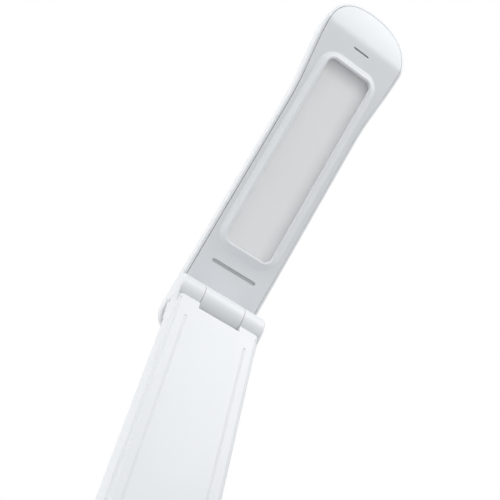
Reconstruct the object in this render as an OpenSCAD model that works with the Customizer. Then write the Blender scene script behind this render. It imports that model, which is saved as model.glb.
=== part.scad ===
// Folding desk lamp: weighted base, flat arm and a flat LED head on two friction hinges.
// X runs along the hinge pins, -Y is the front and Z is up. The origin is the middle of the
// pad's lower face. Each moving part is drawn in a frame of its own and then placed:
// the arm's frame has its lower pin at the origin and its upper pin at [0, 0, arm_pitch],
// the head's frame has its pin at the origin, its tip towards +Z and its light side towards -Y.

/* [Posture] */
// Lean of the arm behind the vertical, degrees
arm_lean = 15; // [0:1:25]
// Tilt of the head forward of the arm's line, degrees
head_tilt = 43; // [0:1:90]

/* [Base] */
// Width of the base
base_w = 110; // [100:1:130]
// Depth of the base, front to back
base_l = 170; // [165:1:190]
// Height of the base, pad included
base_h = 15; // [15:0.5:18]
// Radius of the base's corners in plan
base_corner = 24; // [16:1:30]
// Distance of the lower pin behind the middle of the base
post_y = 62; // [58:1:64]
// Height of the lower pin above the top of the base
post_h = 29.5; // [29:0.5:34]

/* [Arm] */
// Distance between the two hinge pins
arm_pitch = 232; // [230:1:260]
// Width of the arm
arm_w = 56; // [54:0.2:56]
// From the pins to the front face of the arm
arm_front = 7.5; // [7:0.1:8]
// From the pins to the rear face of the arm
arm_back = 6.5; // [6:0.1:7]
// Radius of the arm's long front edges
arm_edge = 3; // [2:0.1:4]
// From the middle of the arm to each groove of its front face
groove_x = 19.1; // [15:0.1:21]

/* [Hinges] */
// Radius of the hinge barrels
barrel_r = 9.5; // [9:0.1:9.5]
// Width across the two outer knuckles
barrel_w = 56.6; // [56:0.2:58]
// Width of the middle knuckle
knuckle_w = 26.5; // [24:0.5:28]
// Diameter of the hinge pins
pin_d = 5; // [4:0.5:6]

/* [Head] */
// Width of the head along its straight sides
head_w = 52.6; // [50:0.2:54]
// Width of the head near its tip
head_tip_w = 61; // [56:0.5:64]
// From the pin to the tip of the head
head_reach = 219; // [212:0.5:220]
// From the pin to the rear end of the head
head_tail = 28.5; // [26:0.5:30]
// Thickness of the head
head_t = 13; // [12:0.5:13.5]
// From the pin to the light side of the head
head_drop = 11.5; // [11:0.5:12]
// Width of the light window
window_w = 32; // [28:1:34]
// Length of the light window
window_l = 131.6; // [120:0.2:140]

/* [Hidden] */
$fn = 64;

white = "whitesmoke";
fit = 0.02;       // radial clearance of a pin in a fixed bore
run = 0.05;       // radial clearance of a pin in a turning bore
gap = 0.1;        // gap along a parting line
wall = 2;         // wall of the shells
over = 1;         // overrun of a cutting tool

pad_t = 1.2;      // thickness of the base pad
pad_inset = 5;
split_z = 9;      // parting plane of the base shells
base_edge = 3.6;  // radius of the base's upper edge
foot_edge = 2;    // radius of the base's lower edge
pin_z = base_h + post_h;
knuckle_gap = 0.25;
knuckle_in = knuckle_w / 2 + knuckle_gap;
knuckle_len = barrel_w / 2 - knuckle_in;
barrel_edge = 2;  // rounding of the barrels' outer rims
pin_r = pin_d / 2;
pin_end = barrel_w / 2 - 4.5;
cap_r = 5;
cap_t = 1.6;
washer_r = 6.5;
washer_t = 0.8;

// ---------- plain shapes ----------

// Rounded rectangle about the origin
module round_rect(w, l, r) {
    for (s = [0, 1]) square([w - 2 * r * s, l - 2 * r * (1 - s)], center = true);
    for (x = [-1, 1], y = [-1, 1]) translate([x * (w / 2 - r), y * (l / 2 - r)]) circle(r);
}

// Slot with round ends, along X
module stadium(l, w) {
    square([l - w, w], center = true);
    for (x = [-1, 1]) translate([x * (l - w) / 2, 0]) circle(w / 2);
}

// Slab with round corners in plan, a round upper edge and a round lower edge
module soft_slab(w, l, r, z0, z1, upper, lower) {
    hull() for (x = [-1, 1], y = [-1, 1])
        translate([x * (w / 2 - r), y * (l / 2 - r), 0])
            rotate_extrude($fn = 48) intersection() {
                translate([0, z0]) square([r, z1 - z0]);
                union() {
                    translate([0, z0 + lower]) square([r, z1 - z0 - lower - upper]);
                    translate([0, z0]) square([r - max(lower, upper), z1 - z0]);
                    translate([r - lower, z0 + lower]) circle(lower, $fn = 24);
                    translate([r - upper, z1 - upper]) circle(upper, $fn = 24);
                }
            }
}

// Rod along X between two stations
module rod_x(r, x0, x1) {
    translate([x0, 0, 0]) rotate([0, 90, 0]) cylinder(r = r, h = x1 - x0);
}

// Barrel along +X with its far rim rounded
module barrel(r, x0, x1, rim) {
    translate([x0, 0, 0]) rotate([90, 0, 90]) rotate_extrude() {
        square([r - rim, x1 - x0]);
        square([r, x1 - x0 - rim]);
        translate([r - rim, x1 - x0 - rim]) circle(rim);
    }
}

// Pan-head screw pointing along -Z with its head's seat at the origin
module screw(d, len) {
    translate([0, 0, -len]) cylinder(d = d, h = len, $fn = 24);
    difference() {
        cylinder(d = 2 * d, h = 0.6 * d, $fn = 24);
        for (a = [0, 90]) rotate(a) translate([-0.7 * d, -0.15 * d, 0.3 * d])
            cube([1.4 * d, 0.3 * d, d]);
    }
}

// ---------- frames of the moving parts ----------

module place_arm() {
    translate([0, post_y, pin_z]) rotate([-arm_lean, 0, 0]) children();
}

module place_head() {
    place_arm() translate([0, 0, arm_pitch]) rotate([head_tilt, 0, 0]) children();
}

// ---------- base ----------

plate_w = base_w - 2 * pad_inset - 10;
plate_l = 102;
plate_t = 3;
plate_y = -16;
button_y = -52;
button_r = 7;
button_up = 0.6;
button_travel = 0.8;
board_z = 8;
board_t = 1.6;
post_d = 2 * barrel_r;
flange_w = knuckle_w + 24;
flange_l = post_d + 8;
flange_t = 2.5;
flange_z = split_z - 3.2;
post_screw_reach = 2.4;
usb_x = 29;
usb_board_l = 13;
usb_z = 6.1;
light_x = 14;
screw_x = base_w / 2 - 13;
screw_y = base_l / 2 - 13;
boss_r = 3.5;

module base_outer() {
    soft_slab(base_w, base_l, base_corner, pad_t, base_h, base_edge, foot_edge);
}

module base_cavity(z0, z1) {
    translate([0, 0, z0]) linear_extrude(z1 - z0)
        round_rect(base_w - 2 * wall, base_l - 2 * wall, base_corner - wall);
}

module boss_spots() {
    for (x = [-1, 1], y = [-1, 1]) translate([x * screw_x, y * screw_y, 0]) children();
}

module base_pad() {
    color("gainsboro") difference() {
        linear_extrude(pad_t + 0.4)
            round_rect(base_w - 2 * pad_inset - gap, base_l - 2 * pad_inset - gap, base_corner - pad_inset);
        boss_spots() translate([0, 0, -over]) cylinder(r = boss_r, h = pad_t + 2 * over);
    }
}

module base_lower_shell() {
    color(white) difference() {
        union() {
            difference() {
                intersection() {
                    base_outer();
                    translate([-base_w, -base_l, 0]) cube([2 * base_w, 2 * base_l, split_z]);
                }
                base_cavity(pad_t + wall, base_h);
            }
            boss_spots() translate([0, 0, pad_t + wall / 2]) cylinder(r = boss_r, h = split_z - gap - pad_t - wall / 2);
            post_screw_spots() translate([-3, -6, pad_t + wall / 2 - flange_z])
                cube([6, 12, flange_z - pad_t - wall / 2 - fit]);
        }
        post_screw_spots() translate([0, 0, -post_screw_reach]) cylinder(r = 1.2 + fit, h = flange_z, $fn = 32);
        // shallow seat of the pad
        translate([0, 0, -over]) linear_extrude(over + pad_t + 0.4)
            round_rect(base_w - 2 * pad_inset, base_l - 2 * pad_inset, base_corner - pad_inset);
        boss_spots() {
            translate([0, 0, -over]) cylinder(r = 2.4, h = pad_t + over + 1.6);
            translate([0, 0, -over]) cylinder(r = 1.1, h = base_h);
        }
        // opening for the charging plug
        translate([usb_x, base_l / 2 + over, usb_z]) rotate([90, 0, 0])
            linear_extrude(wall + 2 * over) round_rect(9.6, 3.9, 1.9);
    }
}

module base_upper_shell() {
    color(white) difference() {
        union() {
            difference() {
                intersection() {
                    base_outer();
                    translate([-base_w, -base_l, split_z + gap])
                        cube([2 * base_w, 2 * base_l, base_h]);
                }
                base_cavity(0, base_h - wall);
            }
            boss_spots() translate([0, 0, split_z]) cylinder(r = boss_r, h = base_h - wall / 2 - split_z);
        }
        boss_spots() cylinder(r = 1 + fit, h = base_h - 2 * wall, $fn = 32);
        translate([0, button_y, 0]) cylinder(r = button_r + 2.5 + fit, h = base_h + over);
        translate([light_x, button_y, 0]) cylinder(r = 1.25 + fit, h = base_h + over, $fn = 32);
        // opening for the hinge post
        translate([0, post_y, base_h]) cube([knuckle_w + 2 * gap, post_d + 2 * gap, base_h], center = true);
    }
}

module ballast_plate() {
    color("slategray") translate([0, plate_y, pad_t + wall + gap]) linear_extrude(plate_t)
        round_rect(plate_w, plate_l, 8);
}

module battery() {
    color("silver") translate([0, 4, pad_t + wall + plate_t + 2 * gap]) {
        linear_extrude(6) round_rect(56, 48, 3);
        translate([-10, -27, 2]) cube([20, 3.2, 1]);
    }
}

module control_board() {
    color("seagreen") translate([0, button_y, board_z]) difference() {
        linear_extrude(board_t) round_rect(44, 34, 1.5);
        for (x = [-1, 1]) translate([x * 19, 0, -over]) cylinder(d = 3, h = board_t + 2 * over, $fn = 32);
    }
}

module tact_switch() {
    color("dimgray") translate([0, button_y, board_z + board_t]) {
        translate([-3, -3, 0]) cube([6, 6, 1.4]);
        cylinder(d = 3.4, h = 1.8, $fn = 32);
    }
}

module usb_board() {
    color("seagreen") translate([usb_x - usb_board_l / 2, base_l / 2 - wall - 1 - usb_board_l, usb_z - 2.75])
        cube([usb_board_l, usb_board_l, 1]);
}

module usb_socket() {
    color("silver") translate([usb_x, base_l / 2 - 0.6, usb_z]) rotate([90, 0, 0]) {
        difference() {
            linear_extrude(7.4) round_rect(9, 3.3, 1.6);
            translate([0, 0, -over]) linear_extrude(over + 6.8) round_rect(8.4, 2.7, 1.3);
        }
        translate([-3.35, -0.35, 0.9]) cube([6.7, 0.7, 6.2]);
    }
}

module charge_light() {
    color("white") translate([light_x, button_y, board_z + board_t + gap])
        cylinder(r = 1.25, h = base_h - board_z - board_t - gap, $fn = 32);
}

module button_ring() {
    color("silver") translate([0, button_y, 0]) difference() {
        union() {
            translate([0, 0, base_h - wall - 0.8]) cylinder(r = button_r + 2.5, h = wall + 1.1);
            translate([0, 0, base_h - wall - 0.8]) cylinder(r = button_r + 4, h = 0.8 - fit);
        }
        cylinder(r = button_r + 0.15, h = base_h + over);
    }
}

module power_button() {
    top = base_h + button_up;
    stem_end = board_z + board_t + 1.8 + button_travel + 0.1;
    color(white) translate([0, button_y, 0]) {
        difference() {
            translate([0, 0, top - 2.2]) rotate_extrude() {
                square([button_r - 0.6, 2.2]);
                square([button_r, 1.6]);
                translate([button_r - 0.6, 1.6]) circle(0.6, $fn = 32);
            }
            // shallow dish for the finger
            translate([0, 0, top + 39.4]) sphere(r = 40, $fn = 96);
        }
        translate([0, 0, stem_end]) cylinder(r = 1.8, h = top - 2 - stem_end);
    }
}

// Post that carries the middle knuckle of the lower hinge
module base_hinge_post() {
    color(white) difference() {
        union() {
            translate([0, post_y, pin_z]) rod_x(barrel_r, -knuckle_w / 2, knuckle_w / 2);
            translate([-knuckle_w / 2, post_y - barrel_r, flange_z])
                cube([knuckle_w, post_d, pin_z - flange_z]);
            translate([-flange_w / 2, post_y - flange_l / 2, flange_z])
                cube([flange_w, flange_l, flange_t]);
        }
        translate([0, post_y, pin_z]) rod_x(pin_r + run, -barrel_w, barrel_w);
        // channel for the ribbon
        translate([-6, post_y - 3, flange_z - over]) cube([12, 6, 22]);
        post_screw_spots() translate([0, 0, -over]) cylinder(r = 1.3, h = flange_t + 2 * over, $fn = 32);
    }
}

module post_screw_spots() {
    for (x = [-1, 1]) translate([x * (flange_w / 2 - 5), post_y, flange_z]) children();
}

module post_screws() {
    color("silver") post_screw_spots() translate([0, 0, flange_t]) screw(2.4, flange_t + post_screw_reach - 0.1);
}

module base_screws() {
    color("silver") boss_spots() translate([0, 0, pad_t + 1.6]) rotate([180, 0, 0]) screw(2, 8);
}

// ---------- arm ----------

shoulder = 8.4;    // from a pin to the end of the front face
notch = 12.4;      // from a pin to the bottom of the notch
face_step = 1.8;   // step between the front face and the outer knuckles
ear_run = 20;      // from a pin to the start of the rear swell
swell_sink = 0.4;  // where the swell dips into the barrel
arm_rear_edge = 2.5;
side_round = 6;    // soft curve of the side walls
side_lead = 0.5;   // their widest line, from the pins to the front
edge_in = 4.02;    // from the widest line to the middle of the front edges' curve
rear_in = 3.4;     // the same for the rear edges
swell_in = 0.9;    // from the widest line to the flanks of the swell
groove_r = 1;
groove_d = 0.4;
arm_hollow_w = arm_w - 10;
arm_room = 24;     // from a pin to the arm's hollow
cover_w = arm_hollow_w + 3;
cover_t = 1.8;
cover_room = arm_room - 4;
corner_r = 4.4;    // corners of the front face

// Ends of the straight line that touches two circles, on the side that the first turns to
function touching(c1, r1, c2, r2) = let (d = c2 - c1,
    a = atan2(d.y, d.x) - acos((r1 - r2) / norm(d)), n = [cos(a), sin(a)]) [c1 + r1 * n, c2 + r2 * n];

// Section of the arm across its length: flat front and rear, softly curved sides
module arm_section() {
    h = arm_w / 2;
    front = [h - edge_in, -arm_front + arm_edge];
    side = [h - side_round, -side_lead];
    rear = [h - rear_in, arm_back - arm_rear_edge];
    edge = concat([[-over, -arm_front], [front.x, -arm_front]],
        touching(front, arm_edge, side, side_round), touching(side, side_round, rear, arm_rear_edge),
        [[rear.x, arm_back], [-over, arm_back]]);
    for (m = [0, 1]) mirror([m, 0]) {
        polygon(edge);
        translate(front) circle(arm_edge);
        translate(side) circle(side_round);
        translate(rear) circle(arm_rear_edge);
    }
}

// Swell of one end seen along X, from the rear face into the barrel
module swell_outline() {
    polygon([[-arm_front + face_step, 0], [-arm_front + face_step, -ear_run],
        [arm_back, -ear_run], [barrel_r - swell_sink, -2], [0, 0]]);
}

// Both outer knuckles of the end that points along +Z, with its pin at the origin
module arm_end() {
    for (m = [0, 1]) mirror([m, 0, 0]) {
        barrel(barrel_r, knuckle_in, barrel_w / 2, barrel_edge);
        translate([knuckle_in, 0, 0]) rotate([90, 0, 90])
            linear_extrude(arm_w / 2 - swell_in - knuckle_in) swell_outline();
    }
}

// What is taken from the same end: notch, bores and the rounded corners of the front face
module arm_end_cuts() {
    translate([-knuckle_in, -arm_w / 2, -notch]) cube([2 * knuckle_in, arm_w, notch + 2 * barrel_r]);
    rod_x(pin_r + fit, -pin_end, barrel_w / 2 + over);
    rod_x(cap_r + fit, barrel_w / 2 - cap_t, barrel_w / 2 + over);
    for (x = [-1, 1]) rod_x(washer_r + 0.1, min(x * knuckle_in, x * (knuckle_in + washer_t)),
        max(x * knuckle_in, x * (knuckle_in + washer_t)));
    for (m = [0, 1]) mirror([m, 0, 0])
        translate([arm_w / 2 - corner_r, -arm_front - over, -shoulder - corner_r])
            difference() {
                cube([corner_r + over, over + face_step, corner_r + over]);
                rotate([-90, 0, 0]) cylinder(r = corner_r, h = over + face_step);
            }
}

module both_ends() {
    translate([0, 0, arm_pitch]) children();
    mirror([0, 0, 1]) children();
}

module arm_shell() {
    color(white) place_arm() difference() {
        union() {
            difference() {
                linear_extrude(arm_pitch) arm_section();
                both_ends() translate([-arm_w, -arm_front - over, -shoulder])
                    cube([2 * arm_w, over + face_step, shoulder + over]);
            }
            both_ends() arm_end();
        }
        both_ends() arm_end_cuts();
        // hollow and the seat of the rear cover
        translate([-arm_hollow_w / 2, -arm_front + wall, arm_room])
            cube([arm_hollow_w, arm_w, arm_pitch - 2 * arm_room]);
        translate([0, arm_back + over, arm_pitch / 2]) rotate([90, 0, 0])
            linear_extrude(over + cover_t) round_rect(cover_w + 2 * gap,
                arm_pitch - 2 * cover_room + 2 * gap, 3);
        arm_screw_spots() translate([0, 0, -6]) cylinder(r = 0.9 + fit, h = 6 + over, $fn = 32);
        // wire ways to both notches
        both_ends() translate([-5, -2, -arm_room - over]) cube([10, 4, arm_room + over - notch + over]);
        // grooves of the front face
        for (x = [-1, 1]) translate([x * groove_x, -arm_front - groove_r + groove_d, notch + 9])
            cylinder(r = groove_r, h = arm_pitch - 2 * notch - 18, $fn = 48);
    }
}

module arm_screw_spots() {
    for (z = [cover_room + 2, arm_pitch - cover_room - 2], x = [-1, 1])
        translate([x * 17, arm_back - cover_t, z]) rotate([-90, 0, 0]) children();
}

module arm_rear_cover() {
    color(white) place_arm() difference() {
        translate([0, arm_back, arm_pitch / 2]) rotate([90, 0, 0]) linear_extrude(cover_t - gap)
            round_rect(cover_w, arm_pitch - 2 * cover_room, 3);
        arm_screw_spots() {
            cylinder(r = 1.15, h = cover_t + over, $fn = 24);
            translate([0, 0, 0.5]) cylinder(r = 2.1, h = cover_t + over, $fn = 32);
        }
    }
}

module arm_screws() {
    color("silver") place_arm() arm_screw_spots() translate([0, 0, 0.52]) screw(1.8, 6);
}

module arm_stiffener() {
    color("lightsteelblue") place_arm()
        translate([-arm_hollow_w / 2 + 1, -arm_front + wall + gap, arm_room + 3]) difference() {
            cube([arm_hollow_w - 2, 1.2, arm_pitch - 2 * arm_room - 6]);
            for (i = [0:4]) translate([(arm_hollow_w - 2) / 2, -over, 22 + i * 35])
                rotate([-90, 0, 0]) cylinder(d = 14, h = 1.2 + 2 * over);
        }
}

module arm_ribbon() {
    color("khaki") place_arm() translate([-4, -0.3, notch + 1])
        cube([8, 0.6, arm_pitch - 2 * notch - 2]);
}

module hinge_pin() {
    rod_x(pin_r, -pin_end + 0.2, barrel_w / 2 - cap_t - 0.2);
}

module pin_cap() {
    rod_x(cap_r, barrel_w / 2 - cap_t, barrel_w / 2 - 0.1);
}

module washers() {
    for (m = [0, 1]) mirror([m, 0, 0]) difference() {
        rod_x(washer_r, knuckle_in - knuckle_gap + run, knuckle_in + washer_t - fit);
        rod_x(pin_r + run, 0, barrel_w);
    }
}

module upper_hinge() {
    place_arm() translate([0, 0, arm_pitch]) children();
}

module lower_pin() { color("silver") place_arm() hinge_pin(); }
module lower_pin_cap() { color(white) place_arm() pin_cap(); }
module lower_washers() { color("goldenrod") place_arm() washers(); }
module upper_pin() { color("silver") upper_hinge() hinge_pin(); }
module upper_pin_cap() { color(white) upper_hinge() pin_cap(); }
module upper_washers() { color("goldenrod") upper_hinge() washers(); }

// ---------- head ----------

tail_power = 2.5;       // fullness of the rounded rear end
tip_power = 2.2;        // fullness of the tip
tail_round = 16.5;      // length of the rounded rear end
tip_round = 31;         // length of the rounded tip
flare_from = 135;       // the sides start to spread here
flare_to = 192;
prow_at = 191;          // the light side bends up here
prow_soft = 2.5;
prow_slope = tan(20);
prow_bend = 0.006;      // how fast the prow steepens
curl_from = 165;        // the back starts to lift here
curl_h = 2.5;
lower_edge = 1.5;       // rounding around the light side
upper_edge = 4;         // rounding around the back
lip = 1.9;              // rim of the top shell seen beside the bottom cover
cover_plate = 2;
window_at = 105.4;      // middle of the window
window_r = 4.6;
bezel_h = 2.4;
bezel_run = 5.2;        // width of the bezel
bezel_r = 11.5;         // outer corners of the bezel
bezel_crest = 0.7;      // from the window to the crest
lens_sink = 1;          // from the light side to the diffuser
lens_t = 1;
lens_rim = 2;
slot_at = 25.4;
slot_l = 30.8;
slot_w = 2.1;
tip_slot_at = 185.2;
tip_slot_l = 11.9;
tip_slot_w = 1.1;
flange_q = head_drop + cover_plate + 2.1;
block_screw_reach = 3;

function ease(u) = u <= 0 ? 0 : u >= 1 ? 1 : u * u * (3 - 2 * u);
function half_w(s) = head_w / 2 + (head_tip_w - head_w) / 2
    * ease((s - flare_from) / (flare_to - flare_from));
function tip_start() = head_reach - tip_round;
function tail_start() = tail_round - head_tail;

// Right half of the head's plan, rear end to tip, as [x, s]
function half_plan() = concat(
    [for (a = [10, 20, 31, 43, 56, 70]) [half_w(0) * pow(sin(a), 2 / tail_power),
        tail_start() - tail_round * pow(cos(a), 2 / tail_power)]],
    [for (s = [tail_start(), 10, 40, 70, 100, 120, 135, 143, 151, 159, 167, 175, 182]) [half_w(s), s]],
    [for (a = [90, 80, 70, 60, 51, 42, 33, 24, 16, 9]) [half_w(tip_start()) * pow(sin(a), 2 / tip_power),
        tip_start() + tip_round * pow(abs(cos(a)), 2 / tip_power)]]);

// Outward direction at point i of an open outline
function outward(p, i) = let (d = p[min(i + 1, len(p) - 1)] - p[max(i - 1, 0)])
    [d.y, -d.x] / norm(d);
function inset(p, d) = [for (i = [0:len(p) - 1]) p[i] - d * outward(p, i)];

// Height of the light side and of the back, measured from the pin
function light_side(s) = let (t = s - prow_at, u = t / prow_soft) head_drop + prow_bend * pow(max(0, t), 2)
    + (u <= -1 ? 0 : u < 1 ? prow_slope * prow_soft * (u + 1) * (u + 1) / 4 : prow_slope * t);
function back_side(s) = head_drop + head_t
    + curl_h * pow(max(0, s - curl_from) / (head_reach - curl_from), 2);

// Closed ring around the head: share 0 is the light side and 1 the back
function ring(d, share, lift) = let (p = inset(half_plan(), d), n = len(p))
    [for (i = [0:2 * n - 1]) let (k = i < n ? i : 2 * n - 1 - i, s = p[k].y)
        [i < n ? p[k].x : -p[k].x, light_side(s) * (1 - share) + back_side(s) * share + lift, s]];

// Solid between a stack of such rings
module stack(rings) {
    n = len(rings[0]);
    last = (len(rings) - 1) * n;
    polyhedron(points = [for (r = rings, p = r) p], faces = concat(
        [for (j = [0:len(rings) - 2], k = [0:n - 1])
            [j * n + k, j * n + (k + 1) % n, (j + 1) * n + (k + 1) % n, (j + 1) * n + k]],
        [for (i = [0:n / 2 - 2]) [n - 1 - i, n - 2 - i, i + 1, i]],
        [for (i = [0:n / 2 - 2]) [last + i, last + i + 1, last + n - 2 - i, last + n - 1 - i]]));
}

// Flat outline of the head, inset, standing between two depths behind the pin
module plan_prism(d, q0, q1, s0, s1) {
    p = inset(half_plan(), d);
    intersection() {
        translate([0, q1, 0]) rotate([90, 0, 0]) linear_extrude(q1 - q0)
            polygon([for (i = [0:2 * len(p) - 1]) i < len(p) ? p[i]
                : [-p[2 * len(p) - 1 - i].x, p[2 * len(p) - 1 - i].y]]);
        translate([-head_tip_w, q0 - over, s0]) cube([2 * head_tip_w, q1 - q0 + 2 * over, s1 - s0]);
    }
}

// Flat shape that lies in the head, between two depths behind the light side
module head_level(at, h0, h1) {
    translate([0, head_drop + h1, at]) rotate([90, 0, 0]) linear_extrude(h1 - h0) children();
}

module head_plate(w, l, r, at, h0, h1) {
    head_level(at, h0, h1) round_rect(w, l, r);
}

module head_top_shell() {
    steps = [0, 30, 60, 90];
    outer = concat(
        [for (a = steps) ring(lower_edge * (1 - sin(a)), lower_edge * (1 - cos(a)) / head_t, 0)],
        [for (a = [90, 65, 40, 20, 0]) ring(upper_edge * (1 - sin(a)), 1 - upper_edge * (1 - cos(a)) / head_t, 0)]);
    color(white) place_head() difference() {
        stack(outer);
        stack([ring(lip, 0, -over), ring(lip, 0, cover_plate + gap)]);
        plan_prism(lip + wall, head_drop, head_drop + head_t - wall, -head_tail + 5, prow_at - 5);
        plan_prism(wall, head_drop + 4.5, head_drop + head_t - 4, -head_tail + 5, prow_at - 5);
    }
}

// Outline around the window, with corners that grow rounder outwards
module around_window(out, h0, h1) {
    head_plate(window_w + 2 * out, window_l + 2 * out, window_r + (bezel_r - window_r) * out / bezel_run,
        window_at, h0, h1, $fn = 48);
}

// Raised frame around the window: a straight outer slope with a rounded crest
module bezel() {
    hull() {
        around_window(bezel_run, -0.01, 0.5);
        around_window(bezel_crest + 0.85, 0.4 - bezel_h, 0);
        around_window(bezel_crest + 0.4, 0.1 - bezel_h, 0);
        around_window(bezel_crest, -bezel_h, 0);
    }
}

module head_bottom_cover() {
    color(white) place_head() difference() {
        union() {
            stack([ring(lip + gap + 0.3, 0, 0), ring(lip + gap, 0, 0.3), ring(lip + gap, 0, cover_plate)]);
            bezel();
            block_screw_spots() translate([0, 0, -flange_t - 3]) cylinder(r = 3, h = 3 - gap);
        }
        block_screw_spots() translate([0, 0, -flange_t - block_screw_reach - gap])
            cylinder(r = 1 + fit, h = 2 * block_screw_reach, $fn = 32);
        around_window(0, -bezel_h - over, cover_plate + over);
        // slope inside the crest
        hull() {
            around_window(0, bezel_crest - bezel_h, bezel_crest - bezel_h + 0.01);
            around_window(bezel_crest, -bezel_h - over, -bezel_h - 0.01);
        }
        head_plate(window_w + 2 * lens_rim + 2 * gap, window_l + 2 * lens_rim + 2 * gap,
            window_r + lens_rim, window_at, lens_sink, cover_plate + over);
        head_level(slot_at, -over, cover_plate + over) stadium(slot_l, slot_w);
        head_level(tip_slot_at, -over, cover_plate + over) stadium(tip_slot_l, tip_slot_w);
        head_level(0, -over, cover_plate + over) square([knuckle_w + 2 * gap, post_d + 2 * gap], center = true);
    }
}

module slot_strip() {
    color("darkgray") place_head() {
        head_level(slot_at, 0.8, cover_plate + gap) stadium(slot_l - 2 * gap, slot_w - 2 * gap);
        head_level(slot_at, cover_plate + gap / 2, cover_plate + 1) stadium(slot_l + 4, slot_w + 4);
    }
}

module diffuser() {
    color("ivory") place_head()
        head_plate(window_w + 2 * lens_rim, window_l + 2 * lens_rim, window_r + lens_rim - gap,
            window_at, lens_sink, lens_sink + lens_t);
}

module reflector_tray() {
    color("white") place_head() difference() {
        head_plate(window_w + 6, window_l + 6, window_r + 3, window_at, cover_plate + gap, 8.8);
        head_plate(window_w + 4, window_l + 4, window_r + 2, window_at, 0, 8);
    }
}

module led_board() {
    color("honeydew") place_head()
        head_plate(window_w - 2, window_l - 4, 2, window_at, 6.8, 7.9);
}

module leds() {
    color("gold") place_head() for (x = [-1, 1], i = [-6:6])
        head_plate_at(x * 7, window_at + i * 9.6) cube([2.8, 0.7, 3.5], center = true);
}

module head_plate_at(x, s) {
    translate([x, head_drop + 6.8 - 0.36, s]) children();
}

// Block that carries the middle knuckle of the upper hinge
module head_hinge_block() {
    color(white) place_head() difference() {
        union() {
            rod_x(barrel_r, -knuckle_w / 2, knuckle_w / 2);
            translate([-knuckle_w / 2, 0, -barrel_r]) cube([knuckle_w, flange_q + flange_t, post_d]);
            translate([-21, flange_q, -barrel_r - 3]) cube([42, flange_t, post_d + 6]);
        }
        rod_x(pin_r + run, -barrel_w, barrel_w);
        translate([-6, 6, -3]) cube([12, head_t, 6]);
        block_screw_spots() translate([0, 0, -flange_t - over])
            cylinder(r = 1.1, h = flange_t + 2 * over, $fn = 32);
    }
}

module block_screw_spots() {
    for (x = [-1, 1], z = [-1, 1])
        translate([x * 17, flange_q + flange_t, z * 7]) rotate([-90, 0, 0]) children();
}

module block_screws() {
    color("silver") place_head() block_screw_spots() screw(2, flange_t + block_screw_reach);
}

module head_ribbon() {
    color("khaki") place_head() translate([-4, head_drop + 8.9, 4]) cube([8, 0.5, 36]);
}

base_pad();
base_lower_shell();
base_upper_shell();
ballast_plate();
battery();
control_board();
tact_switch();
usb_board();
usb_socket();
charge_light();
button_ring();
power_button();
base_hinge_post();
post_screws();
base_screws();
lower_pin();
lower_pin_cap();
lower_washers();
arm_shell();
arm_rear_cover();
arm_stiffener();
arm_ribbon();
arm_screws();
upper_pin();
upper_pin_cap();
upper_washers();
head_hinge_block();
block_screws();
head_top_shell();
head_bottom_cover();
slot_strip();
diffuser();
reflector_tray();
led_board();
leds();
head_ribbon();
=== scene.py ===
import math

import bmesh
import bpy
import numpy as np
from mathutils import Matrix, Vector


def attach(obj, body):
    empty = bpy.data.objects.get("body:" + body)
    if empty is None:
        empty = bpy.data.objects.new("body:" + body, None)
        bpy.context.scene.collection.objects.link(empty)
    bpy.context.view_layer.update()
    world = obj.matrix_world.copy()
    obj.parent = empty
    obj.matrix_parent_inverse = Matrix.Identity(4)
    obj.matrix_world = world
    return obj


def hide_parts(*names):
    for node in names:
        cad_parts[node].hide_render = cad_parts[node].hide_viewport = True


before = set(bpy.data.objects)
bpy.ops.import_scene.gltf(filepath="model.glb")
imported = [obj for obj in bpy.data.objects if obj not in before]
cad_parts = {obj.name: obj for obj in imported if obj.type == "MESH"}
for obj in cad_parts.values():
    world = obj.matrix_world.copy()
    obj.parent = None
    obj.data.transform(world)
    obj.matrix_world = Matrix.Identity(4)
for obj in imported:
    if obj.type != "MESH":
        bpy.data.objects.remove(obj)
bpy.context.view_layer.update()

# ---------------------------------------------------------------- sizes, in millimetres
# s runs along the head from the upper pin and x across it; a depth runs behind the pin.

# Joints, as in the CAD
ARM_LEAN = 15.0        # degrees that the arm leans back
HEAD_TILT = 43.0       # degrees from the arm to the head
POST_Y = 62.0          # lower pin behind the base's middle
PIN_Z = 44.5           # lower pin above the table
ARM_PITCH = 232.0      # between the pins
KNUCKLE_W = 26.5       # width of the head's knuckle
BARREL_R = 9.5         # radius of the hinge barrels

# Head, as in the CAD
HEAD_W = 52.6          # width at the hinge
HEAD_TIP_W = 61.0      # width at the tip
HEAD_REACH = 219.0     # from the pin to the tip
HEAD_TAIL = 28.5       # from the pin to the rear end
HEAD_T = 13.0          # thickness
HEAD_DROP = 11.5       # depth of the light side
TAIL_POWER = 2.5       # how square the rear end's plan is; 2 is an ellipse
TIP_POWER = 2.2        # the same for the tip
TAIL_ROUND = 16.5      # length of the rear end's rounding
TIP_ROUND = 31.0       # length of the tip's rounding
FLARE_FROM = 135.0     # where the sides start to flare
FLARE_TO = 192.0       # where they stop
PROW_AT = 191.0        # where the light side turns up towards the tip
PROW_SOFT = 2.5        # half the length of that turn
PROW_SLOPE = math.tan(math.radians(20))
PROW_BEND = 0.006      # how the prow curves on, per millimetre
CURL_FROM = 165.0      # where the back starts to curl
CURL_H = 2.5           # how far it curls at the tip
LOWER_EDGE = 1.5       # rounding of the shell's edge on the light side
UPPER_EDGE = 4.0       # rounding of its edge on the back
LIP = 1.9              # the shell's rim beside the cover
WALL = 2.0             # the shell's wall
SOLID_END = 5.0        # how far the shell is solid at its rear end and before the prow
COVER_T = 2.0          # the cover's thickness
GAP = 0.1              # gap along a parting line

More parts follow.
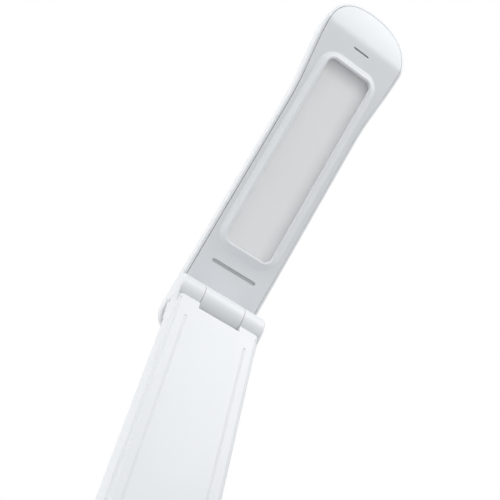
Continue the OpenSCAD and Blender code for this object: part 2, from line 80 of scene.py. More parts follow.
# Window, its raised frame and the slots, as in the CAD
WINDOW_AT = 105.4      # middle of the window
WINDOW_W = 32.0
WINDOW_L = 131.6
WINDOW_R = 4.6         # corners of the window
BEZEL_H = 2.4          # height of the raised frame
BEZEL_RUN = 5.2        # from the window to the frame's foot
BEZEL_R = 11.5         # corners of the frame's foot
LENS_SINK = 1.0        # depth of the diffuser in the cover
LENS_RIM = 2.0         # how far the diffuser reaches past the window
SLOT_AT = 25.4         # slot by the hinge
SLOT_L = 30.8
SLOT_W = 2.1
TIP_SLOT_AT = 185.2    # slot by the tip
TIP_SLOT_L = 11.9
TIP_SLOT_W = 1.1

# Finer than the CAD
SEAM = 0.28            # parting line round the cover, as wide as the photo shows it
RIGHT_SEAM = 0.05      # the same along the right side
COVER_EDGE = 0.25      # rounding of the cover's edge
LIP_EDGE = 0.2         # rounding of the shell's rim
TIP_CREST = 0.7        # rounding of the raised frame's inner edge at the tip end
SIDE_CREST = 1.3       # the same along the sides and at the hinge end
HINGE_EDGE = 0.4       # rounding of the hard edges at the hinges


def shift(x, y, z):
    return Matrix.Translation((x, y, z))


def turn_x(degrees):
    return Matrix.Rotation(math.radians(degrees), 4, "X")


# Frames of the arm and the head at rest: x across, y to the rear and z away from the pin
MM = Matrix.Scale(0.001, 4)
ARM = MM @ shift(0, POST_Y, PIN_Z) @ turn_x(-ARM_LEAN)
HEAD = ARM @ shift(0, 0, ARM_PITCH) @ turn_x(HEAD_TILT)


# ---------------------------------------------------------------- materials
# Scales of textures are per metre; depths and runs are in metres.

NOISE_RANGE = (0.3, 0.7)      # where most of a noise's values lie

PLASTIC_IOR = 1.46
COAT_ROUGH = 0.12
MOTTLE = 38.0                 # broad changes of tone
GLOSS_PATCHES = 120.0         # changes of gloss
GLOSS_SHARES = (0.92, 1.08)   # of the roughness
GRAIN_STRENGTH = 0.35

METAL_DARK = 0.86             # share of the colour in the grain's dark lines
METAL_SHARES = (0.8, 1.25)    # of the roughness
METAL_STRENGTH = 0.4
METAL_DEPTH = 0.00001

OPAL_IOR = 1.49
OPAL_GLOW = 0.25              # share of the light that scatters inside
OPAL_COLOURS = (1.0, 0.9, 0.8)  # how far red, green and blue scatter
OPAL_DEPTH = 0.0015
OPAL_TONES = ((0.925, 0.925, 0.92), (0.945, 0.945, 0.94))
OPAL_MOTTLE = 22.0
OPAL_PATCHES = 90.0
OPAL_ROUGH = (0.42, 0.5)
PEBBLE = 1300.0
PEBBLE_STRENGTH = 0.3
PEBBLE_DEPTH = 0.00002

# Painted shade on the window, darker towards its tip end and its right side, where the raised
# frame shades it: run and share of dark
TIP_PAINTED_SHADE = (0.014, 0.27)
SIDE_PAINTED_SHADE = (0.010, 0.108)
PAINTED_SHADE_PAST = 0.001           # how far past the edge a border is darkest
PAINTED_SHADE_BLUE = 0.96            # share of its dark in blue


def set_inputs(node, values):
    for name, value in values.items():
        node.inputs[name].default_value = value


def new_material(name, values):
    """A material, and what its nodes are built with: nodes, links and its main shader."""
    mat = bpy.data.materials.new(name)
    mat.use_nodes = True
    nodes = mat.node_tree.nodes
    set_inputs(nodes["Principled BSDF"], values)
    return mat, nodes, mat.node_tree.links, nodes["Principled BSDF"]


def in_piece(nodes):
    """Places in the piece's own space."""
    return nodes.new("ShaderNodeTexCoord").outputs["Object"]


def noise(nodes, links, scale, detail=3.0, rough=0.5, stretch=None):
    """Noise, drawn out along the axes where stretch is small."""
    place = in_piece(nodes)
    if stretch:
        pull = nodes.new("ShaderNodeMapping")
        set_inputs(pull, {"Scale": stretch})
        links.new(place, pull.inputs["Vector"])
        place = pull.outputs["Vector"]
    texture = nodes.new("ShaderNodeTexNoise")
    set_inputs(texture, {"Scale": scale, "Detail": detail, "Roughness": rough})
    links.new(place, texture.inputs["Vector"])
    return texture.outputs["Fac"]


def spread(nodes, links, value, low, high):
    """Noise mapped to a narrow range."""
    node = nodes.new("ShaderNodeMapRange")
    set_inputs(node, {"From Min": NOISE_RANGE[0], "From Max": NOISE_RANGE[1],
                      "To Min": low, "To Max": high})
    links.new(value, node.inputs["Value"])
    return node.outputs["Result"]


def mix_colours(nodes, links, value, first, second, blend="MIX"):
    """A mix of two colours by a 0 to 1 value; a colour is three numbers or a socket."""
    node = nodes.new("ShaderNodeMix")
    node.data_type = "RGBA"
    node.blend_type = blend
    links.new(value, node.inputs["Factor"])
    for name, colour in (("A", first), ("B", second)):
        if isinstance(colour, bpy.types.NodeSocket):
            links.new(colour, node.inputs[name])
        else:
            node.inputs[name].default_value = (*colour, 1)
    return node.outputs["Result"]


def facing(nodes, links, place, direction):
    """How far each place lies along a direction."""
    dot = nodes.new("ShaderNodeVectorMath")
    dot.operation = "DOT_PRODUCT"
    dot.inputs[1].default_value = direction
    links.new(place, dot.inputs[0])
    return dot.outputs["Value"]


def add_bump(nodes, links, bsdf, height, strength, depth):
    bump = nodes.new("ShaderNodeBump")
    set_inputs(bump, {"Strength": strength, "Distance": depth})
    links.new(height, bump.inputs["Height"])
    links.new(bump.outputs["Normal"], bsdf.inputs["Normal"])


def moulded(name, colour, rough, grain=2600.0, depth=0.00001, shade=0.012, coat=0.0):
    """Moulded plastic: mottled by a share, shade, with a fine grain and slightly uneven gloss."""
    mat, nodes, links, bsdf = new_material(
        name, {"IOR": PLASTIC_IOR, "Coat Weight": coat, "Coat Roughness": COAT_ROUGH})
    broad = noise(nodes, links, MOTTLE, detail=2.0)
    dark = tuple(c * (1 - shade) for c in colour)
    links.new(mix_colours(nodes, links, broad, dark, colour), bsdf.inputs["Base Color"])
    low, high = (rough * share for share in GLOSS_SHARES)
    patches = noise(nodes, links, GLOSS_PATCHES)
    links.new(spread(nodes, links, patches, low, high), bsdf.inputs["Roughness"])
    fine = noise(nodes, links, grain, detail=4.0, rough=0.6)
    add_bump(nodes, links, bsdf, fine, GRAIN_STRENGTH, depth)
    return mat


def metal(name, colour, rough, stretch=(1, 1, 1), grain=900.0):
    """Metal, brushed along the axes where stretch is small."""
    mat, nodes, links, bsdf = new_material(name, {"Metallic": 1.0})
    brushed = noise(nodes, links, grain, detail=4.0, stretch=stretch)
    dark = tuple(c * METAL_DARK for c in colour)
    links.new(mix_colours(nodes, links, brushed, dark, colour), bsdf.inputs["Base Color"])
    low, high = (rough * share for share in METAL_SHARES)
    links.new(spread(nodes, links, brushed, low, high), bsdf.inputs["Roughness"])
    add_bump(nodes, links, bsdf, brushed, METAL_STRENGTH, METAL_DEPTH)
    return mat


def painted_shade_border(nodes, links, colour, direction, edge, run, dark):
    """Painted shade: a colour that grows darker by a share, dark, over the run up to an edge."""
    near = nodes.new("ShaderNodeMapRange")
    near.interpolation_type = "SMOOTHERSTEP"
    set_inputs(near, {"From Min": edge - run, "From Max": edge + PAINTED_SHADE_PAST})
    links.new(facing(nodes, links, in_piece(nodes), direction), near.inputs["Value"])
    tone = (1 - dark, 1 - dark, 1 - dark * PAINTED_SHADE_BLUE)
    return mix_colours(nodes, links, near.outputs["Result"], colour, tone, "MULTIPLY")


def opal(name, shade_bands=()):
    """Milky sheet with a very fine pebble and painted shade; each band of painted shade is
    direction, edge, run and share of dark.
    """
    mat, nodes, links, bsdf = new_material(
        name, {"IOR": OPAL_IOR, "Subsurface Weight": OPAL_GLOW,
               "Subsurface Radius": OPAL_COLOURS, "Subsurface Scale": OPAL_DEPTH})
    broad = noise(nodes, links, OPAL_MOTTLE, detail=1.0)
    pale = mix_colours(nodes, links, broad, *OPAL_TONES)
    for shade_band in shade_bands:
        pale = painted_shade_border(nodes, links, pale, *shade_band)
    links.new(pale, bsdf.inputs["Base Color"])
    patches = noise(nodes, links, OPAL_PATCHES)
    links.new(spread(nodes, links, patches, *OPAL_ROUGH), bsdf.inputs["Roughness"])
    pebble = nodes.new("ShaderNodeTexVoronoi")
    set_inputs(pebble, {"Scale": PEBBLE})
    links.new(in_piece(nodes), pebble.inputs["Vector"])
    add_bump(nodes, links, bsdf, pebble.outputs["Distance"], PEBBLE_STRENGTH, PEBBLE_DEPTH)
    return mat


# Bands of painted shade on the window, where the raised frame shades its tip end and right side
def window_painted_shade():
    along = (HEAD.to_3x3() @ Vector((0, 0, 1))).normalized()
    tip_end = along.dot(HEAD @ Vector((0, 0, WINDOW_AT + WINDOW_L / 2)))
    right_side = WINDOW_W / 2 * 0.001
    return (along, tip_end, *TIP_PAINTED_SHADE), (Vector((1, 0, 0)), right_side, *SIDE_PAINTED_SHADE)


SHELL = moulded("satin_white", (0.795, 0.81, 0.825), 0.36, coat=0.15)
COVER = moulded("matt_white", (0.815, 0.835, 0.855), 0.5, grain=1900.0, depth=0.000015)
# The diffuser carries painted shade towards its tip end and its right side
OPAL = opal("opal_diffuser", window_painted_shade())
LENS = opal("charge_lens")
SHADOW_GREY = moulded("slot_grey", (0.55, 0.56, 0.57), 0.6)
RUBBER = moulded("pad_rubber", (0.3, 0.31, 0.32), 0.85, grain=1400.0, depth=0.00004, shade=0.08)
BOARD = moulded("board_green", (0.03, 0.16, 0.07), 0.45, grain=700.0, depth=0.00002, shade=0.2)
DARK = moulded("switch_black", (0.02, 0.02, 0.022), 0.4)
FOIL = metal("battery_foil", (0.72, 0.73, 0.75), 0.35, grain=160.0)
STEEL = metal("zinc_steel", (0.66, 0.67, 0.69), 0.3, stretch=(0.05, 1, 1))
RING = metal("spun_ring", (0.8, 0.8, 0.82), 0.26, stretch=(1, 1, 0.1), grain=1400.0)
BALLAST = metal("ballast_steel", (0.36, 0.37, 0.39), 0.5, stretch=(1, 0.08, 1), grain=500.0)
BRONZE = metal("spring_bronze", (0.72, 0.5, 0.26), 0.35)
ALUMINIUM = metal("mill_aluminium", (0.77, 0.78, 0.8), 0.32, stretch=(1, 1, 0.04), grain=800.0)
RIBBON = moulded("ribbon_cable", (0.72, 0.7, 0.6), 0.5, shade=0.1)
PHOSPHOR = moulded("led_phosphor", (0.85, 0.66, 0.18), 0.4, shade=0.15)

LOOKS = {
    "base_pad": RUBBER, "base_lower_shell": COVER, "base_upper_shell": SHELL,
    "ballast_plate": BALLAST, "battery": FOIL, "control_board": BOARD, "tact_switch": DARK,
    "usb_board": BOARD, "usb_socket": STEEL, "charge_light": LENS, "button_ring": RING,
    "power_button": COVER, "base_hinge_post": SHELL, "post_screws": STEEL, "base_screws": STEEL,
    "lower_pin": STEEL, "lower_pin_cap": SHELL, "lower_washers": BRONZE, "arm_shell": SHELL,
    "arm_rear_cover": COVER, "arm_stiffener": ALUMINIUM, "arm_ribbon": RIBBON,
    "arm_screws": STEEL, "upper_pin": STEEL, "upper_pin_cap": SHELL, "upper_washers": BRONZE,
    "head_hinge_block": SHELL, "block_screws": STEEL, "head_top_shell": SHELL,
    "head_bottom_cover": COVER, "slot_strip": SHADOW_GREY, "diffuser": OPAL,
    "reflector_tray": COVER, "led_board": COVER, "leds": PHOSPHOR, "head_ribbon": RIBBON,
}


def paint(obj, material):
    obj.data.materials.clear()
    obj.data.materials.append(material)


# ---------------------------------------------------------------- mesh building

HARD_EDGE = 35.0       # degrees from which an edge of a CAD form is rounded
FLAT_EDGE = 0.6        # degrees below which its faces are joined before that
SHARP_EDGE = 32.0      # degrees from which an edge of a new piece is shaded sharp
SAME_POINT = 0.000002  # metres
CUT_PAST = 1.0         # millimetres that a tool reaches past what it cuts


def soften(obj, radius):
    """Small moulded radius on the hard edges of a CAD form."""
    obj.modifiers.new("weld", "WELD").merge_threshold = SAME_POINT
    flats = obj.modifiers.new("flats", "DECIMATE")
    flats.decimate_type = "DISSOLVE"
    flats.angle_limit = math.radians(FLAT_EDGE)
    edges = obj.modifiers.new("edges", "BEVEL")
    edges.width = radius * 0.001
    edges.segments = 2
    edges.limit_method = "ANGLE"
    edges.angle_limit = math.radians(HARD_EDGE)
    edges.use_clamp_overlap = True
    obj.modifiers.new("normals", "WEIGHTED_NORMAL").keep_sharp = True


def smooth(obj):
    """Smooth shading that keeps the sharp edges."""
    obj.data.shade_smooth()
    obj.data.set_sharp_from_angle(angle=math.radians(SHARP_EDGE))
    obj.modifiers.new("normals", "WEIGHTED_NORMAL").keep_sharp = True


def build(name, verts, faces, place, material):
    """A smooth-shaded mesh from millimetre points in a local frame."""
    mesh = bpy.data.meshes.new(name)
    mesh.from_pydata([tuple(v) for v in verts], [], faces)
    mesh.transform(place)
    bm = bmesh.new()
    bm.from_mesh(mesh)
    bmesh.ops.recalc_face_normals(bm, faces=bm.faces)
    bm.to_mesh(mesh)
    bm.free()
    obj = bpy.data.objects.new(name, mesh)
    bpy.context.scene.collection.objects.link(obj)
    smooth(obj)
    paint(obj, material)
    return obj


def put_in_place(obj, body, node):
    """Makes a new piece ride on a body, in the place of a CAD node."""
    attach(obj, body)
    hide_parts(node)


def combine(obj, tools, operation):
    """Cuts closed forms out of a new piece, or joins them to it, and removes them."""
    obj.modifiers.clear()
    for tool in tools:
        step = obj.modifiers.new("combine", "BOOLEAN")
        step.operation = operation
        step.solver = "EXACT"
        step.object = tool
    bpy.context.view_layer.update()
    depsgraph = bpy.context.evaluated_depsgraph_get()
    result = bpy.data.meshes.new_from_object(obj.evaluated_get(depsgraph))
    obj.modifiers.clear()
    old = obj.data
    obj.data = result
    result.name = old.name
    bpy.data.meshes.remove(old)
    for tool in tools:
        bpy.data.objects.remove(tool)
    smooth(obj)


def strips(loops):
    """Points, and the faces between a stack of equal closed loops."""
    n = len(loops[0])
    faces = [(j * n + k, j * n + (k + 1) % n, (j + 1) * n + (k + 1) % n, (j + 1) * n + k)
             for j in range(len(loops) - 1) for k in range(n)]
    return [point for loop in loops for point in loop], faces


def tool_from(loops, place):
    """Closed form through a stack of loops, to cut with or to join."""
    verts, faces = strips(loops)
    n = len(loops[0])
    faces += [tuple(range(n)), tuple(range(len(verts) - n, len(verts)))]
    return build("tool", verts, faces, place, SHELL)


def mirrored_cap(start, n):
    """Faces that close a loop by joining each point to its mirror image."""
    return [(start + k, start + k + 1, start + n - 2 - k, start + n - 1 - k)
            for k in range(n // 2 - 1)]


def rounding(radius, start, end, points):
    """Rounded edge between two angles, as how far it lies inside the side and the face."""
    return [(radius * (1 - math.sin(a)), radius * (1 - math.cos(a)))
            for a in np.radians(np.linspace(start, end, points))]


# ---------------------------------------------------------------- the head's form

MIDDLE_TURN = 1.5      # degrees from the middle line to a round end's first point
TAIL_TURN = 84.0       # degrees at which the rear end's rounding meets the side
SIDE_STEP = 2.5        # between the outline's points along the sides


def ease(u):
    """Soft change from 0 to 1 as u goes from 0 to 1."""
    u = min(max(u, 0.0), 1.0)
    return u * u * (3 - 2 * u)


def half_width(s):
    flare = ease((s - FLARE_FROM) / (FLARE_TO - FLARE_FROM))
    return HEAD_W / 2 + (HEAD_TIP_W - HEAD_W) / 2 * flare


def light_side(s):
    """Depth of the light side: flat, then a soft turn into the prow."""
    t = s - PROW_AT
    u = t / PROW_SOFT
    bend = PROW_BEND * max(0.0, t) ** 2
    if u <= -1:
        return HEAD_DROP
    if u < 1:
        return HEAD_DROP + bend + PROW_SLOPE * PROW_SOFT * (u + 1) ** 2 / 4
    return HEAD_DROP + bend + PROW_SLOPE * t


def back_side(s):
    """Depth of the back, which curls towards the tip."""
    curl = max(0.0, s - CURL_FROM) / (HEAD_REACH - CURL_FROM)
    return HEAD_DROP + HEAD_T + CURL_H * curl ** 2


def half_outline():
    """Right half of the head's plan, from the rear end to the tip, as x and s."""
    tail_start = TAIL_ROUND - HEAD_TAIL
    tip_start = HEAD_REACH - TIP_ROUND
    tail = [(half_width(0) * math.sin(a) ** (2 / TAIL_POWER),
             tail_start - TAIL_ROUND * math.cos(a) ** (2 / TAIL_POWER))
            for a in np.radians(np.linspace(MIDDLE_TURN, TAIL_TURN, 30))]
    sides = [(half_width(s), s) for s in np.arange(tail_start, tip_start - 1, SIDE_STEP)]
    tip = [(half_width(tip_start) * math.sin(a) ** (2 / TIP_POWER),
            tip_start + TIP_ROUND * max(0.0, math.cos(a)) ** (2 / TIP_POWER))
           for a in np.radians(np.linspace(90, MIDDLE_TURN, 44))]
    return np.array(tail + sides + tip)


HALF = half_outline()


def inset(distance):
    """Right half of the outline, moved inwards."""
    run = np.gradient(HALF, axis=0)
    out = np.stack([run[:, 1], -run[:, 0]], 1) / np.linalg.norm(run, axis=1)[:, None]
    return HALF - distance * out


def with_mirror(half):
    return half + [(-x, depth, s) for x, depth, s in reversed(half)]


def ring(distance, share=0.0, lift=0.0):
    """Closed loop round the head: share 0 lies on the light side and 1 on the back."""
    return with_mirror([(x, light_side(s) * (1 - share) + back_side(s) * share + lift, s)
                        for x, s in inset(distance)])


def flat_ring(distance, depth, low, high):
    """The same loop at one depth, cut off square near both ends."""
    return with_mirror([(x, depth, min(max(s, low), high)) for x, s in inset(distance)])


def make_top_shell():
    """Shell with a flat-bottomed hollow, a rim beside the cover and rounded edges."""
    room = (-HEAD_TAIL + SOLID_END, PROW_AT - SOLID_END)
    seat = COVER_T + GAP
    loops = [flat_ring(LIP + WALL, HEAD_DROP + HEAD_T - WALL, *room),
             flat_ring(LIP + WALL, HEAD_DROP + seat, *room),
             ring(LIP, 0, seat),
             ring(LIP, 0, LIP_EDGE)]
    loops += [ring(LIP - out, 0, down) for down, out in rounding(LIP_EDGE, 30, 90, 3)]
    loops += [ring(side, face / HEAD_T) for side, face in rounding(LOWER_EDGE, 0, 90, 8)]
    loops += [ring(side, 1 - face / HEAD_T) for side, face in rounding(UPPER_EDGE, 90, 0, 13)]
    verts, faces = strips(loops)
    n = len(loops[0])
    faces += mirrored_cap(0, n) + mirrored_cap(len(verts) - n, n)
    put_in_place(build("top_shell", verts, faces, HEAD, SHELL), "head", "head_top_shell")


# ---------------------------------------------------------------- the cover's form

RAY_TURN = 1.0         # degrees between the rays round the window's ends
RAY_STEP = 2.4         # between the rays along its sides
SPANS = 25             # strips between the raised frame and the cover's edge

# Section of the raised frame past its rounded inner edge, as distance out and drop from its top:
# where the flat top ends, the curve's control point and where the slope starts
TOP_END = (0.1, 0.0)
TURN_CONTROL = (0.7, 0.1)
SLOPE_START = (1.3, 0.72)
# Its foot runs out softly: distance past BEZEL_RUN, and height
FOOT = ((-0.15, 0.12), (0.0, 0.03), (0.15, 0.0))


def half_rays():
    """Rays over the cover's right half from the window's middle line: s, across and along."""
    low = WINDOW_AT - WINDOW_L / 2 + WINDOW_W / 2
    high = WINDOW_AT + WINDOW_L / 2 - WINDOW_W / 2
    turns = np.radians(np.arange(RAY_TURN / 2, 90, RAY_TURN))
    tail = [(low, math.sin(a), -math.cos(a)) for a in turns]
    side = [(s, 1.0, 0.0) for s in np.arange(low, high + 0.1, RAY_STEP)]
    tip = [(high, math.sin(a), math.cos(a)) for a in turns[::-1]]
    return tail + side + tip


RAYS = half_rays()


def window_point(ray, offset):
    """Where a ray meets the outline around the window, whose corners grow rounder outwards."""
    centre, across, along = ray
    reach = WINDOW_W / 2 + offset
    away = abs(along)
    t = reach / max(across, away)
    radius = WINDOW_R + (BEZEL_R - WINDOW_R) * offset / BEZEL_RUN
    corner = reach - radius
    if t * across > corner and t * away > corner:
        b = corner * (across + away)
        t = b + math.sqrt(b * b - 2 * corner * corner + radius ** 2)
    return t * across, centre + t * along


def outline_points(distance):
    """Where the rays meet the head's outline, inset by a distance."""
    half = inset(distance)
    points = []
    for centre, across, along in RAYS:
        if along == 0:
            points.append((np.interp(centre, half[:, 1], half[:, 0]), centre))
            continue
        away = (half[:, 1] - centre) * (1 if along > 0 else -1)
        keep = away > 0
        turn = np.arctan2(half[keep, 0], away[keep])
        far = np.hypot(half[keep, 0], away[keep])
        order = np.argsort(turn)
        t = np.interp(math.atan2(across, abs(along)), turn[order], far[order])
        points.append((t * across, centre + t * along))
    return points


def raised_loop(points, lifts, share=0.0):
    """Closed loop of the cover; share 1 brings its right half to the narrower seam."""
    closer = (SEAM - RIGHT_SEAM) * share
    right = [(x + closer * across, light_side(s) + lift, s)
             for (x, s), lift, (_, across, _) in zip(points, lifts, RAYS)]
    left = [(-x, light_side(s) + lift, s) for (x, s), lift in zip(points, lifts)]
    return right + left[::-1]


def cover_loop(points, lift, share=0.0):
    return raised_loop(points, [lift] * len(points), share)


def between(inner, outer, share):
    return [tuple(p + (q - p) * share for p, q in zip(near, far))
            for near, far in zip(inner, outer)]


def bezel_profile(crest):
    """Section of the raised frame, from the window outwards, as offset and height."""
    inner = [(out, BEZEL_H - drop) for out, drop in rounding(crest, 90, 0, 10)]
    top, control, slope_start = [(crest + out, BEZEL_H - drop)
                                 for out, drop in (TOP_END, TURN_CONTROL, SLOPE_START)]
    turn = [tuple((1 - u) ** 2 * p + 2 * u * (1 - u) * q + u * u * r
                  for p, q, r in zip(top, control, slope_start)) for u in np.linspace(0, 1, 8)]
    foot = [(BEZEL_RUN + out, height) for out, height in FOOT]
    slope = [between([slope_start], [foot[0]], share)[0] for share in (0.2, 0.4, 0.6, 0.8, 1.0)]
    return inner + turn + slope + foot[1:]


def bezel_loops():
    """Loops of the raised frame, whose inner edge is rounder along the sides than at the tip."""
    profiles = [bezel_profile(TIP_CREST + (SIDE_CREST - TIP_CREST) * ease(1 - along))
                for _, _, along in RAYS]
    loops = []
    for level in zip(*profiles):
        points = [window_point(ray, offset) for ray, (offset, _) in zip(RAYS, level)]
        loops.append(raised_loop(points, [-height for _, height in level]))
    return loops


def slot_outline(at, length, width, steps=10):
    """Slot with round ends, across the head."""
    points = []
    for side, start in ((1, -90), (-1, 90)):
        for k in range(steps + 1):
            angle = math.radians(start + 180 * k / steps)
            points.append((side * (length - width) / 2 + width / 2 * math.cos(angle),
                           at + width / 2 * math.sin(angle)))
    return points


def knuckle_outline():
    """Opening for the head's knuckle."""
    return [(x * (KNUCKLE_W / 2 + GAP), s * (BARREL_R + GAP))
            for x, s in ((-1, -1), (1, -1), (1, 1), (-1, 1))]


def through_cover(outline):
    """Tool that cuts an outline right through the cover."""
    return tool_from([[(x, depth, s) for x, s in outline]
                      for depth in (HEAD_DROP - CUT_PAST, HEAD_DROP + COVER_T + CUT_PAST)],
                     HEAD)


def make_bottom_cover():
    """Cover as one closed skin: round the window, over the frame to the edge, and back inside."""
    rim = [window_point(ray, LENS_RIM + GAP) for ray in RAYS]
    mouth = [window_point(ray, 0) for ray in RAYS]
    foot = [window_point(ray, BEZEL_RUN) for ray in RAYS]
    side = outline_points(LIP + SEAM)
    shoulder = outline_points(LIP + SEAM + COVER_EDGE)
    shares = [k / SPANS for k in range(1, SPANS + 1)]
    loops = [cover_loop(rim, COVER_T), cover_loop(rim, LENS_SINK), cover_loop(mouth, LENS_SINK)]
    loops += bezel_loops()
    loops += [cover_loop(between(foot, shoulder, share), 0, share) for share in shares[1:]]
    loops += [cover_loop(outline_points(LIP + SEAM + in_side), in_face, 1)
              for in_side, in_face in rounding(COVER_EDGE, 30, 90, 3)]
    loops.append(cover_loop(side, COVER_T, 1))
    loops += [cover_loop(between(rim, side, share), COVER_T, share) for share in shares[-2::-1]]
    loops.append(loops[0])
    verts, faces = strips(loops)
    last = len(verts) - len(loops[0])
    faces = [tuple(k - last if k >= last else k for k in face) for face in faces]
    cover = build("bottom_cover", verts[:last], faces, HEAD, COVER)
    put_in_place(cover, "head", "head_bottom_cover")
    openings = [knuckle_outline(), slot_outline(TIP_SLOT_AT, TIP_SLOT_L, TIP_SLOT_W),
                slot_outline(SLOT_AT, SLOT_L, SLOT_W)]
    combine(cover, [through_cover(opening) for opening in openings], "DIFFERENCE")


# ---------------------------------------------------------------- the arm's form

# Cheek that closes a barrel's end, as sections: distance from the pin, then the points of its
# front edge from inside to outside, as distance from the middle and height over the pins' plane
CHEEK = (
    (-1.5, (27.2, 9.0), (27.75, 8.6), (28.1, 8.0), (28.25, 7.0)),
    (3.25, (27.2, 8.85), (27.75, 8.65), (28.15, 8.1), (28.3, 7.0)),
    (7.2, (27.15, 7.45), (27.7, 7.2), (28.1, 6.5), (28.25, 5.2)),
    (10.2, (26.9, 6.8), (27.4, 6.35), (27.75, 5.4), (27.95, 4.0)),
    (13.5, (26.4, 6.32), (26.88, 5.42), (27.22, 4.25), (27.54, 3.1)),
    (24.0, (26.1, 6.5), (26.65, 5.6), (27.0, 4.4), (27.35, 3.1)),
)
CHEEK_FOOT = 2.5       # height where a cheek starts, inside the arm

# Dip along each border of the front face, cut by a round bar: its middle, radius and sides
DIP_AT = 25.6
DIP_HIGH = 7.8
DIP_R = 1.5
DIP_SIDES = 48
# It runs out towards both hinges: distance from the pin, and how far the bar rises there
DIP_ENDS = ((11.0, 0.62), (14.0, 0.3), (20.0, 0.0))


def make_cheek(side, upper):
    loops = []
    for away, *front in CHEEK:
        z = ARM_PITCH - away if upper else away
        points = [(front[0][0], CHEEK_FOOT), *front, (front[-1][0], CHEEK_FOOT)]
        loops.append([(side * x, -height, z) for x, height in points])
    return tool_from(loops, ARM)


def make_dip(side):
    turns = [math.radians(360 * k / DIP_SIDES) for k in range(DIP_SIDES)]
    rises = [*DIP_ENDS, *((ARM_PITCH - z, rise) for z, rise in reversed(DIP_ENDS))]
    return tool_from([[(side * DIP_AT + DIP_R * math.cos(a),
                        DIP_R * math.sin(a) - DIP_HIGH - rise, z) for a in turns]
                      for z, rise in rises], ARM)


def make_arm():
    """The CAD shell with cheeks at its hinges and soft dips along its front face."""
    arm = bpy.data.objects.new("arm_body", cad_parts["arm_shell"].data.copy())
    bpy.context.scene.collection.objects.link(arm)
    combine(arm, [make_cheek(side, upper) for side in (1, -1) for upper in (True, False)], "UNION")
    combine(arm, [make_dip(side) for side in (1, -1)], "DIFFERENCE")
    arm.modifiers.clear()
    soften(arm, HINGE_EDGE)
    paint(arm, SHELL)
    put_in_place(arm, "arm", "arm_shell")


# ---------------------------------------------------------------- camera

FOCAL = 666.0          # focal length in pixels of the 500-pixel picture
PICTURE = 500.0
SENSOR = 36.0
CLIP_FROM = 0.01       # metres
# Camera from the upper pin, in the arm's own frame: across, along the arm and to its front
CAMERA_AT = (-98.2, -260.15, 269.3)
CAMERA_RIGHT = (0.82207, 0.17655, 0.54132)
CAMERA_DOWN = (0.51204, -0.64502, -0.56724)


def arm_direction(across, along, front):
    """A direction of the arm's frame, in the world."""
    return (ARM.to_3x3() @ Vector((across, -front, along))).normalized()


def make_camera():
    camera = bpy.data.objects.new("camera", bpy.data.cameras.new("camera"))
    camera.data.sensor_width = SENSOR
    camera.data.lens = FOCAL / PICTURE * SENSOR
    camera.data.clip_start = CLIP_FROM
    right = arm_direction(*CAMERA_RIGHT)
    up = -arm_direction(*CAMERA_DOWN)
    back = right.cross(up)
    across, along, front = CAMERA_AT
    eye = ARM @ Vector((across, -front, ARM_PITCH + along))
    camera.matrix_world = Matrix.Translation(eye) @ Matrix((right, up, back)).transposed().to_4x4()
    bpy.context.scene.collection.objects.link(camera)
    bpy.context.scene.camera = camera


# ---------------------------------------------------------------- light and floor

# Soft dome with broad lobes of light in it: direction, sharpness and strength
DOME = 0.645
DOME_COLOUR = (0.97, 0.985, 1.0)
LOBES = (
    ((-1, -0.1, 0.15), 8, 2.85),
    ((1, -0.2, 0.3), 6, 0.75),
    ((0, 1, 0.3), 6, 0.5),
)
# Square soft boxes: direction from the upper pin, and the light that each gives there, as a
# share of what an even dome of strength 1 would give
BOXES = (
    ((-0.41, -0.49, 0.77), 0.12),
    ((0.4, -0.5, 0.77), 0.268),
)
BOX_AWAY = 0.75        # metres from the upper pin
BOX_SIZE = 0.4         # metres

FLOOR_TONES = ((0.9, 0.9, 0.9), (0.93, 0.93, 0.93))
FLOOR_BOUNCE = (0.6, 0.6, 0.6)  # its colour in the light that it throws back
FLOOR_MOTTLE = 6.0     # per metre
FLOOR_ROUGH = 0.7
FLOOR_REACH = 25.0     # metres
FLOOR_SIDES = 128


def math_node(nodes, links, operation, value, operand):
    """One operation on a socket and a number or another socket."""
    node = nodes.new("ShaderNodeMath")
    node.operation = operation
    links.new(value, node.inputs[0])
    if isinstance(operand, bpy.types.NodeSocket):
        links.new(operand, node.inputs[1])
    else:
        node.inputs[1].default_value = operand
    return node.outputs[0]


def directly_seen(nodes, links):
    """1 where a surface is seen straight, in a reflection or through something clear."""
    rays = nodes.new("ShaderNodeLightPath").outputs
    seen = rays["Is Camera Ray"]
    for kind in ("Is Glossy Ray", "Is Transmission Ray"):
        seen = math_node(nodes, links, "MAXIMUM", seen, rays[kind])
    return seen


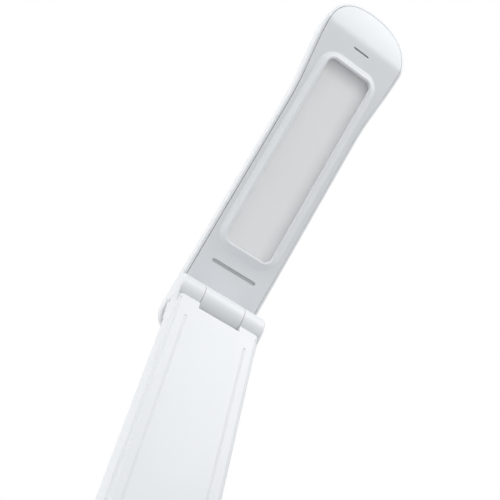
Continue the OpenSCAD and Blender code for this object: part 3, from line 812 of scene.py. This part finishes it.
def make_world():
    """The dome of light, which is seen as plain white."""
    world = bpy.data.worlds.new("studio")
    bpy.context.scene.world = world
    world.use_nodes = True
    nodes, links = world.node_tree.nodes, world.node_tree.links
    place = nodes.new("ShaderNodeTexCoord").outputs["Generated"]
    total = DOME
    for direction, sharpness, strength in LOBES:
        lobe = facing(nodes, links, place, Vector(direction).normalized())
        for operation, operand in (("MAXIMUM", 0.0), ("POWER", sharpness),
                                   ("MULTIPLY", strength), ("ADD", total)):
            lobe = math_node(nodes, links, operation, lobe, operand)
        total = lobe
    dome = nodes["Background"]
    dome.inputs["Color"].default_value = (*DOME_COLOUR, 1)
    links.new(total, dome.inputs["Strength"])
    white = nodes.new("ShaderNodeBackground")
    white.inputs["Color"].default_value = (1, 1, 1, 1)
    mix = nodes.new("ShaderNodeMixShader")
    links.new(directly_seen(nodes, links), mix.inputs[0])
    links.new(dome.outputs[0], mix.inputs[1])
    links.new(white.outputs[0], mix.inputs[2])
    links.new(mix.outputs[0], nodes["World Output"].inputs["Surface"])


def make_box(towards, share):
    """Soft box; its share is for a face that is square on to it."""
    lamp = bpy.data.lights.new("soft_box", "AREA")
    lamp.shape = "SQUARE"
    lamp.size = BOX_SIZE
    lamp.energy = share * (math.pi * BOX_AWAY) ** 2
    box = bpy.data.objects.new("soft_box", lamp)
    towards = Vector(towards).normalized()
    box.location = ARM @ Vector((0, 0, ARM_PITCH)) + towards * BOX_AWAY
    box.rotation_euler = towards.to_track_quat("Z", "Y").to_euler()
    bpy.context.scene.collection.objects.link(box)


def make_floor():
    """Pale desk top under the lamp."""
    mat, nodes, links, bsdf = new_material("pale_floor", {"Roughness": FLOOR_ROUGH})
    pale = mix_colours(nodes, links, noise(nodes, links, FLOOR_MOTTLE), *FLOOR_TONES)
    seen = mix_colours(nodes, links, directly_seen(nodes, links), FLOOR_BOUNCE, pale)
    links.new(seen, bsdf.inputs["Base Color"])
    mesh = bpy.data.meshes.new("floor")
    bm = bmesh.new()
    bmesh.ops.create_circle(bm, cap_ends=True, segments=FLOOR_SIDES, radius=FLOOR_REACH)
    bm.to_mesh(mesh)
    bm.free()
    mesh.materials.append(mat)
    floor = bpy.data.objects.new("floor", mesh)
    bpy.context.scene.collection.objects.link(floor)


# ---------------------------------------------------------------- the scene

for node, look in LOOKS.items():
    paint(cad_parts[node], look)
for node in ("head_hinge_block", "base_hinge_post"):
    soften(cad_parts[node], HINGE_EDGE)
make_top_shell()
make_bottom_cover()
make_arm()
make_camera()
make_world()
for towards, share in BOXES:
    make_box(towards, share)
make_floor()
bpy.context.scene.view_settings.view_transform = "Standard"
